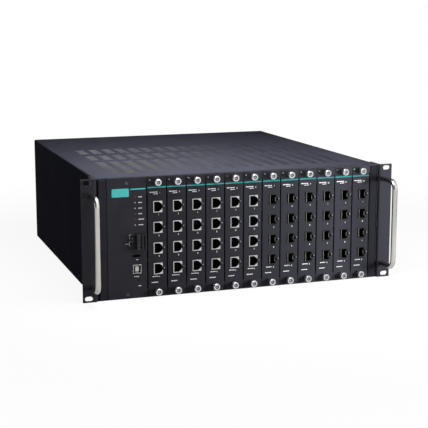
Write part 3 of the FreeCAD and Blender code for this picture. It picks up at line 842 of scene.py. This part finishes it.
def cageDetails(cage):  # a black strip beside the cage, painted shadow, then a lighter strip on its rim and the spring tongue in its relief, both in a lighter copy of the cage's metal, a painted highlight
    values = cageValues
    low, high = extent(cage)
    middle = (low[2] + high[2]) / 2
    tuck, proud, inset = values["tuck"], values["edgeProud"], values["edgeInset"]
    gasket = block("gasket", (low[0] - values["gasket"], plateY - values["shadowStripProud"], low[2] + tuck),
                   (low[0] + tuck, plateY + values["shadowStripDepth"], high[2] - tuck), 0.05)
    edge = block("edge", (low[0] - proud, low[1] - proud, low[2] + inset),
                 (low[0] + values["edge"], low[1] + 1, high[2] - inset), 0.04)
    reach = values["tongueHeight"] / 2
    x, y = moduleCentre((low[0] + high[0]) / 2) + values["tongueX"], low[1] + values["tongueStart"]
    tongue = block("tongue", (x, y, middle - reach),
                   (x + values["tongueWide"], y + values["tongueThick"], middle + reach), 0.2, 2)
    return [gasket], [edge, tongue]


def moduleCentre(x):
    return min(moduleX, key=lambda centre: abs(centre - x))


boardValues = {"chip": (2.2, 26, 26), "chipY": 95, "sink": (7, 24, 24), "sinkBase": 1.5, "fins": 7,
               "memory": (1.2, 12, 9), "memoryZ": (-42, 34), "magnetic": (6.2, 13, 13), "magneticY": 29.5,
               "capacitor": (3.2, 8.5), "capacitorY": (72, 128), "capacitorZ": (-52, 52), "darkEdge": 14.0,
               "edges": {"chip": 0.2, "memory": 0.1, "magnetic": 0.25, "sink": 0.1, "fin": 0.1, "can": 0.4}}


def boardParts(board, copper):  # what is soldered to a module's board, on the side of its ports
    values = boardValues
    low, high = extent(board)
    face, front = low[0], low[1]
    middle = (low[2] + high[2]) / 2

    def soldered(name, size, y, z, base=face):
        return blockAt(name, (base - size[0] / 2, front + y, z), size, values["edges"][name])

    chips = [soldered("chip", values["chip"], values["chipY"], middle)]
    chips += [soldered("memory", values["memory"], values["chipY"], middle + z) for z in values["memoryZ"]]
    if copper:
        chips += [soldered("magnetic", values["magnetic"], values["magneticY"], z) for z in portZ]
    deep, wide, tall = values["sink"]
    base, step = values["sinkBase"], wide / (2 * values["fins"] - 1)
    chipFace = face - values["chip"][0]
    sinks = [soldered("sink", (base, wide, tall), values["chipY"], middle, chipFace)]
    fin = soldered("fin", (deep - base + 0.1, step, tall), values["chipY"] - (wide - step) / 2, middle,
                   chipFace - base + 0.1)
    sinks += [fin] + [twin(fin, "fin", y=2 * step * number) for number in range(1, values["fins"])]
    radius, height = values["capacitor"]
    for y in values["capacitorY"]:
        for z in values["capacitorZ"]:
            can = barrel("can", (face - height / 2, front + y, middle + z), radius, height, 20, "x")
            sinks.append(smooth(roundEdges(can, values["edges"]["can"], 2), 50))
    return chips, sinks


def makePorts(moduleName, copper):
    node = moduleName + "_board"
    parts = sorted(apart(fromNode(node, moduleName + "_part")), key=lambda part: extent(part)[0][2])
    board, ports = parts[0], parts[1:]  # the board reaches lowest
    details, gaskets = [], []
    for port in ports:
        if copper:
            cutNotch(port)
        roundEdges(port, portValues["lip"])
        paint(port, "tinShield" if copper else "cageSteel", "mouthPlastic")
        darkenInside(port, portValues["dark"])
        if copper:
            details += jackContacts(port)
        else:
            dark, bright = cageDetails(port)
            gaskets += dark
            details += bright
    chips, sinks = boardParts(board, copper)
    board.name = moduleName + "_circuit"
    roundEdges(board, 0.1)
    edge = extent(board)[0][1] + boardValues["darkEdge"]
    openUp(board)
    divide(1, [edge])
    closeUp()
    paint(board, "circuitBoard", "mouthPlastic")
    secondFinish(board, lambda c, n: c.y < edge)
    mount(board, moduleName, [node])
    whole = joined(ports, moduleName + ("_jacks" if copper else "_cages"))
    mount(whole, moduleName, [node])
    groups = [(details, "contacts" if copper else "lips", "goldContact" if copper else "lipSteel"),
              (chips, "chips", "chipPlastic"), (sinks, "sinks", "sinkAluminium")]
    if gaskets:
        groups.append((gaskets, "gaskets", "mouthPlastic"))
    for group, name, finishName in groups:
        piece = joined(group, "%s_%s" % (moduleName, name))
        mount(paint(piece, finishName), moduleName)


for number, moduleName in enumerate(moduleNames):
    makePorts(moduleName, number < copperCount)
print("ports and boards made")


# Thumbscrews: a knurled head with a chamfered rim, and a cup with a cross recess

screwValues = {"radius": 4.7, "length": 6.5, "knurls": 24, "ridge": 0.3, "ridgeGap": 0.06, "rim": 0.5,
               "cup": 0.7, "cupWall": 0.35, "recess": 3.0, "recessWidth": 0.6, "recessDepth": 1.0,
               "shank": 2.0, "washer": 2.9}


def crossCutter(centre, first, second):  # two crossed bars in one, to cut a recess
    bars = [blockAt("bar", centre, size, 0.02) for size in (first, second)]
    return carve(*bars, "UNION")


def makeThumbscrew(low, high):  # low and high are the corners of the solid it stands for
    values = screwValues
    x, z = (low[0] + high[0]) / 2, (low[2] + high[2]) / 2
    front, end = low[1], high[1]
    back = front + values["length"]
    head = barrel("thumbscrew", (x, (front + values["rim"] + back) / 2, z), values["radius"],
                  back - front - values["rim"], 2 * values["knurls"])
    openUp(head)
    turn = math.pi / values["knurls"]
    pick(head, lambda c, n: abs(n.y) < 0.5 and math.floor(math.atan2(n.z, n.x) / turn + 0.001) % 2 == 0)
    bpy.ops.mesh.inset(thickness=values["ridgeGap"] * mm, depth=values["ridge"] * mm, use_individual=True)
    pick(head, lambda c, n: n.y < -0.9 and max(abs(c.x - x), abs(c.z - z)) < 1)
    drawOut(-values["rim"])
    share = 1 - values["rim"] / values["radius"]
    stretch((share, 1, share), (x, front, z))
    bpy.ops.mesh.inset(thickness=(values["radius"] * share - values["washer"]) * mm)
    bpy.ops.mesh.inset(thickness=values["cupWall"] * mm, depth=-values["cup"] * mm)
    pick(head, lambda c, n: n.y > 0.9 and max(abs(c.x - x), abs(c.z - z)) < 1)
    bpy.ops.mesh.inset(thickness=(values["radius"] - values["shank"]) * mm)
    drawOut(end - back)
    closeUp()
    paint(head, "brightScrew", "screwCup")
    # the cup takes the dull grey, non-metal finish: painted shade in the recess of the head
    secondFinish(head, lambda c, n: n.y < -0.9 and c.y > front + values["cup"] / 2 and abs(c.x - x) < 1)
    size, width, deep = values["recess"], values["recessWidth"], 2 * values["recessDepth"]
    carve(head, crossCutter((x, front + values["cup"], z), (size, deep, width), (width, deep, size)))
    return smooth(head, 30)


screwSolids = apart(fromNode("module_01_screws", "screw_form"))
places = [extent(solid) for solid in screwSolids]
for solid in screwSolids:
    bpy.data.objects.remove(solid)
firstScrew = makeThumbscrew(*places[0])
pair = joined([firstScrew, twin(firstScrew, "second", z=places[1][0][2] - places[0][0][2])], "screw_pair")
for number, moduleName in enumerate(moduleNames):
    piece = twin(pair, moduleName + "_thumbscrews", x=moduleX[number] - moduleX[0])
    mount(piece, moduleName, [moduleName + "_screws"])
bpy.data.objects.remove(pair)
print("thumbscrews made")


# Printed marks: ink a little proud of the plates. Numbers, plain bars and brackets only.

inkValues = {"proud": 0.05, "sunk": 0.02, "letters": 1.4, "weight": 0.05, "barCorner": 0.1,
             "fineCorner": 0.05, "triangle": 0.8, "point": 0.06}


def label(x0, x1, z0, z1, y, corner=0.15):  # a thin patch that faces the front, its corners cut
    centre = ((x0 + x1) / 2, y + inkValues["sunk"], (z0 + z1) / 2)
    piece = plane("mark", centre, x1 - x0, z1 - z0, facings["front"])
    openUp(piece, "VERT")
    bpy.ops.mesh.bevel(offset=corner * mm, segments=1, affect="VERTICES")
    bpy.ops.mesh.select_all(action="SELECT")
    drawOut(-inkValues["proud"] - inkValues["sunk"])
    mend()
    closeUp()
    return piece


def numeral(text, x, z, y, height):
    atEase()
    bpy.ops.object.text_add(location=(0, 0, 0))
    lettering = bpy.context.object
    lettering.data.body = text
    lettering.data.align_x = "CENTER"
    lettering.data.align_y = "CENTER"
    lettering.data.size = height * inkValues["letters"] * mm
    lettering.data.resolution_u = 2
    lettering.data.extrude = (inkValues["proud"] + inkValues["sunk"]) / 2 * mm
    lettering.data.offset = inkValues["weight"] * height * mm
    bpy.ops.object.convert(target="MESH")
    piece = bpy.context.object
    piece.rotation_euler = facings["front"]
    piece.location = metres(x, y + (inkValues["sunk"] - inkValues["proud"]) / 2, z)
    piece.name = "mark"
    settle(piece)
    openUp(piece)
    bpy.ops.mesh.remove_doubles(threshold=2 * touching * mm)
    closeUp()
    return piece


def wordBars(x, z, height, widths, y, gap=0.35):  # plain bars in place of a line of print
    bars = []
    for width in widths:
        bars.append(label(x, x + width, z - height / 2, z + height / 2, y, inkValues["barCorner"]))
        x += width + gap
    return bars


def triangle(x, z, size, y):  # points down
    rise = size * inkValues["triangle"]
    piece = label(x - size, x + size, z - rise, z + rise, y)
    openUp(piece, "VERT")
    pick(piece, lambda c: c.z < z, "verts")
    stretch((inkValues["point"], 1, 1), (x, y, z))
    closeUp()
    return piece


moduleMarks = {"stripe": (159.0, 160.6), "stripeReach": 13.7, "triangle": (-10.7, 170.0, 1.1),
               "lines": ((-11.0, 152.9, 1.25, (2.9, 1.5, 3.6, 2.6)), (-5.6, 150.4, 1.1, (2.2, 1.6, 2.3)),
                         (-7.4, 30.0, 1.15, (2.6, 1.4, 2.4, 1.2)), (-8.8, 21.4, 1.2, (2.6, 3.6, 2.6))),
               "number": (4.4, 151.8, 2.1), "portNumber": (-12.0, 2.2), "copperNumberX": 2.6,
               "fibreNumberX": 4.2}


def makeModuleMarks(number, moduleName):
    values = moduleMarks
    x, y = moduleX[number], plateY
    reach = values["stripeReach"]
    stripe = label(x - reach, x + reach, *values["stripe"], y, 0.2)
    stripe.name = moduleName + "_stripe"
    mount(paint(stripe, "stripeInk"), moduleName)
    across, rise, size = values["triangle"]
    marks = [triangle(x + across, rise, size, y)]
    for across, rise, height, words in values["lines"]:
        marks += wordBars(x + across, rise, height, words, y)
    across, rise, height = values["number"]
    marks.append(numeral(str(number + 1), x + across, rise, y, height))
    across = values["copperNumberX" if number < copperCount else "fibreNumberX"]
    drop, height = values["portNumber"]
    for row, z in enumerate(sorted(portZ, reverse=True)):
        marks.append(numeral(str(row + 1), x + across, z + drop, y, height))
    mount(paint(joined(marks, moduleName + "_marks"), "whiteInk"), moduleName)


lightValues = {"radius": 0.75, "proud": 0.35, "sunk": 0.6, "copperX": 10.4, "fibreX": 11.6, "rise": 0.6}


def makeModuleLights(number, moduleName):
    values = lightValues
    x = moduleX[number] + values["copperX" if number < copperCount else "fibreX"]
    z = min(portZ) + values["rise"]
    lens = barrel("lens", (x, plateY + (values["sunk"] - values["proud"]) / 2, z), values["radius"],
                  values["sunk"] + values["proud"], 12)
    roundEdges(lens, 0.14, 2)
    lenses = [lens] + [twin(lens, "lens", z=other - min(portZ)) for other in sorted(portZ)[1:]]
    piece = smooth(joined(lenses, moduleName + "_lights"), 50)
    mount(paint(piece, "clearLens"), moduleName)


for number, moduleName in enumerate(moduleNames):
    makeModuleMarks(number, moduleName)
    makeModuleLights(number, moduleName)
print("module marks made")


# Control panel: blank teal block and bar, marks, screws, and what stands in its windows

panelMarks = {"block": (-197.4, -172.6, 148.3, 160.3), "bar": (-170.1, -148.5, 157.9, 159.7),
              "lightX": -158.9, "lightHeight": 1.25, "gap": 0.3,
              "lightWords": ((2.6, 2.4), (2.8, 2.2), (2.4, 2.6), (2.9, 1.8), (3.4, 4.2), (3.0, 3.6)),
              "bracketX": (-178.6, -172.4, -170.9), "bracketZ": (93.1, 88.1, 83.2, 77.4), "bracketLine": 0.6,
              "signX": -168.2, "signHeight": 1.9,
              "lines": ((-163.2, 56.9, 1.2, (1.6, 1.4)), (-166.2, 32.2, 1.2, (2.6, 2.4, 1.6)),
                        (-160.4, 18.4, 1.2, (2.2, 1.9))), "redLights": (0, 3, 4)}


def bracketMarks(y):  # two pairs of poles, and the line that leads to the lower one
    values = panelMarks
    left, middle, right = values["bracketX"]
    line, corner = values["bracketLine"], inkValues["fineCorner"]
    marks = []
    for high, low in (values["bracketZ"][:2], values["bracketZ"][2:]):
        marks.append(label(middle - line, middle, low - line, high + line, y, corner))
        for z, sign in ((high, "+"), (low, "-")):
            marks.append(label(middle, right, z - line / 2, z + line / 2, y, corner))
            marks.append(numeral(sign, values["signX"], z, y, values["signHeight"]))
    centre = sum(values["bracketZ"][2:]) / 2
    return marks + [label(left, middle - line, centre - line / 2, centre + line / 2, y, corner)]


def makePanelMarks():
    values = panelMarks
    y, gap = nodeBox("control_panel")[0][1], values["gap"]
    plates = [label(*values[name], y, corner) for name, corner in (("block", 0.9), ("bar", 0.2))]
    mount(paint(joined(plates, "panel_teal"), "tealInk"), "chassis")
    lights = apart(fromNode("status_lights", "light"))
    rises = sorted([middleOf(*extent(light))[2] for light in lights], reverse=True)
    marks = bracketMarks(y)
    for z, widths in zip(rises, values["lightWords"]):
        marks += wordBars(values["lightX"], z, values["lightHeight"], widths, y, gap)
    for start, z, height, widths in values["lines"]:
        marks += wordBars(start, z, height, widths, y, gap)
    mount(paint(joined(marks, "panel_marks"), "whiteInk"), "chassis")
    order = sorted(lights, key=lambda light: -extent(light)[0][2])
    for number, light in enumerate(order):
        light.name = "panel_light_%d" % (number + 1)
        roundEdges(light, 0.15, 2)
        paint(light, "redLens" if number in values["redLights"] else "clearLens")
        mount(light, "chassis", ["status_lights"])


makePanelMarks()
print("control panel marks made")


# Small screws with a cross recess

screwPlaces = {"panelX": -176.0, "panelZ": (167.5, 6.3), "sideY": (120, 185, 250, 315, 383), "sideZ": 8.0,
               "rearX": (-205, -100, 0, 100, 205), "rearDrop": 6}
screwSizes = {"panel": (2.1, 0.4), "side": (2.6, 0.5), "plate": (2.6, 0.6), "rear": (2.6, 0.5)}
crossValues = {"bevel": 0.45, "size": 1.15, "width": 0.5, "deep": 1.8, "rise": 1.1}  # width in millimetres


def smallScrew(name, radius, height, facing, finishName):  # at the origin, its head along the facing
    head = barrel(name, (0, 0, 0), radius, height * 2, 24, "z")
    openUp(head, "EDGE")
    pick(head, lambda c, d: c.z > height - small, "edges")
    bpy.ops.mesh.bevel(offset=height * crossValues["bevel"] * mm, segments=2, affect="EDGES")
    closeUp()
    size, width, deep = radius * crossValues["size"], crossValues["width"], height * crossValues["deep"]
    carve(head, crossCutter((0, 0, height * crossValues["rise"]), (size, width, deep), (width, size, deep)))
    head.rotation_euler = facings[facing]
    return smooth(paint(settle(head), finishName), 35)


def screwSet(name, places, radius, height, facing, body="chassis", finishName="darkScrew"):
    first = smallScrew(name, radius, height, facing, finishName)
    heads = [twin(first, name, *place) for place in places]
    bpy.data.objects.remove(first)
    mount(joined(heads, name), body)


panelFace = nodeBox("control_panel")[0][1]
places = [(screwPlaces["panelX"], panelFace, z) for z in screwPlaces["panelZ"]]
screwSet("panel_screws", places, *screwSizes["panel"], "front")
coverSide, _, coverTop = nodeBox("top_cover")[1]
for side, x in (("left", -coverSide), ("right", coverSide)):
    places = [(x, y + frameFront, screwPlaces["sideZ"]) for y in screwPlaces["sideY"]]
    screwSet(side + "_side_screws", places, *screwSizes["side"], side, finishName="blackPaint")
sunk = coverValues["screwSunk"]
screwSet("cover_screws", [(x, y + frameFront, coverTop - sunk) for x, y in coverScrews],
         coverValues["screw"] - coverValues["screwGap"], sunk - 0.05, "up")
print("screws made")


# Terminal plug: grooves between its poles and a clamping screw for each

plugValues = {"poles": 6, "pitch": 3.5, "groove": 0.5, "grooveDepth": 1.3, "step": 3.6, "screw": (1.25, 0.35)}


def makePlug():
    values = plugValues
    low, high = nodeBox("terminal_plug")
    middle = (low[2] + high[2]) / 2
    plug = fromNode("terminal_plug", "plug_body")
    rises = spaced(middle, values["poles"], values["pitch"])
    deep = values["step"] + values["grooveDepth"] + 1
    size = (high[0] - low[0] + 2, deep, values["groove"])
    x, y = (low[0] + high[0]) / 2, low[1] - 1 + deep / 2
    grooves = [blockAt("groove", (x, y, z + values["pitch"] / 2), size, 0.02) for z in rises[:-1]]
    carve(plug, joined(grooves, "grooves"))
    roundEdges(plug, 0.12)
    mount(paint(plug, "blackPlastic"), "terminal_plug", ["terminal_plug"])
    x = low[0] + (high[0] - low[0]) / 4
    screwSet("plug_screws", [(x, low[1] + values["step"], z) for z in rises], *values["screw"], "front",
             "terminal_plug")


connectorValues = {"tongue": (5.8, 7.6, 1.2, 11.0), "dark": 0.5}


def makeShell(node, name, finishName, edge):
    shell = roundEdges(fromNode(node, name), edge)
    paint(shell, finishName, "mouthPlastic")
    darkenInside(shell, connectorValues["dark"])
    mount(shell, "chassis", [node])


def makeConnectors():
    makeShell("storage_port", "storage_shell", "darkShield", 0.1)
    makeShell("console_port", "console_shell", "brightShield", 0.12)
    low, high = nodeBox("console_port")
    x, y, z = middleOf(low, high)
    wide, tall, start, end = connectorValues["tongue"]
    tongue = block("console_tongue", (x - wide / 2, low[1] + start, z - tall / 2),
                   (x + wide / 2, low[1] + end, z + tall / 2), 0.5, 2)
    mount(paint(tongue, "whitePlastic"), "chassis")


makePlug()
makeConnectors()
print("connectors made")


# Inside boards: aluminium heat sinks, black sockets

boardSlots = {"circuitBoard": "circuit_board", "sinkAluminium": None, "blackPlastic": "black_plastic"}
innerValues = {"boardThick": 3, "boardWide": 40, "sinkThick": 15, "edge": 0.15}


def makeInnerBoard(node):
    groups = {name: [] for name in boardSlots}
    for part in apart(fromNode(node, "part")):
        low, high = extent(part)
        sizes = sorted(b - a for a, b in zip(low, high))
        if sizes[0] < innerValues["boardThick"] and sizes[1] > innerValues["boardWide"]:
            kind = "circuitBoard"
        else:
            kind = "sinkAluminium" if sizes[0] > innerValues["sinkThick"] else "blackPlastic"
        groups[kind].append(roundEdges(part, innerValues["edge"]))
    for name, parts in groups.items():
        if parts:
            piece = joined(parts, "%s_%s" % (node, name))
            mount(paint(piece, name), "chassis", [node])


for node in ("switch_board", "midplane_board", "control_board"):
    makeInnerBoard(node)
print("inner boards made")


# Power modules: slotted rear plate, terminals with screws, pull tab

powerValues = {"slots": 9, "slotPitch": 6.0, "slot": (2.2, 13.0), "slotDepth": 0.9, "slotRise": 12.0,
               "plateArea": 2000, "screwInset": 5.0, "poles": 4, "poleScrew": (3.1, 0.8), "wall": 1.2,
               "poleDeep": 3.0, "poleHigh": 12.6, "terminalHigh": 16.0}


def slotCase(case, body):  # returns the rear face of its plate
    values = powerValues
    low, high = extent(case)
    plateRear = max(face.center.y / mm for face in case.data.polygons
                    if face.normal.y > 0.9 and face.area > values["plateArea"] * mm * mm)
    wide, tall = values["slot"]
    deep = values["slotDepth"] + 1
    y, z = plateRear + 1 - deep / 2, low[2] + values["slotRise"]
    slots = [blockAt("slot", (x, y, z), (wide, deep, tall), 0.3)
             for x in spaced((low[0] + high[0]) / 2, values["slots"], values["slotPitch"])]
    carve(case, joined(slots, "slots"))
    roundEdges(case, 0.2)
    mount(paint(case, "zincSteel"), body, [body + "_case"])
    return plateRear


def finishTerminals(terminals, body):
    values = powerValues
    start, end = extent(terminals)
    pitch = (end[0] - start[0]) / values["poles"]
    deep = values["poleDeep"]
    places = [(x, end[1] - deep, end[2] - values["terminalHigh"] / 2)
              for x in spaced((start[0] + end[0]) / 2, values["poles"], pitch)]
    size = (pitch - 2 * values["wall"], deep + 1, values["poleHigh"])
    pockets = [blockAt("pocket", (x, y + size[1] / 2, z), size) for x, y, z in places]
    carve(terminals, joined(pockets, "pockets"))
    terminals.name = body + "_terminals"
    roundEdges(terminals, 0.15)
    mount(paint(terminals, "blackPlastic"), body, [body + "_board"])
    screwSet(body + "_terminal_screws", places, *values["poleScrew"], "rear", body, "screwCup")


def makePowerModule(body):
    low, high = nodeBox(body + "_case")
    case = fromNode(body + "_case", body + "_shell")
    parts = sorted(apart(fromNode(body + "_board", "part")), key=lambda part: extent(part)[1][1])
    plateRear = slotCase(case, body)
    inset = powerValues["screwInset"]
    corners = [(x, plateRear, z) for x in (low[0] + inset, high[0] - inset)
               for z in (low[2] + inset, high[2] - inset)]
    screwSet(body + "_plate_screws", corners, *screwSizes["plate"], "rear", body, "screwCup")
    board = roundEdges(joined(parts[:-1], body + "_parts"), 0.15)
    mount(paint(board, "circuitBoard"), body, [body + "_board"])
    finishTerminals(parts[-1], body)  # they reach furthest back


for body in ("power_module_1", "power_module_2"):
    makePowerModule(body)
rearHigh = nodeBox("rear_panel")[1]
rear = roundEdges(fromNode("rear_panel", "rear_sheet"), 0.2)
mount(paint(rear, "blackPaint"), "chassis", ["rear_panel"])
places = [(x, rearHigh[1], rearHigh[2] - screwPlaces["rearDrop"]) for x in screwPlaces["rearX"]]
screwSet("rear_screws", places, *screwSizes["rear"], "rear")
print("rear made")
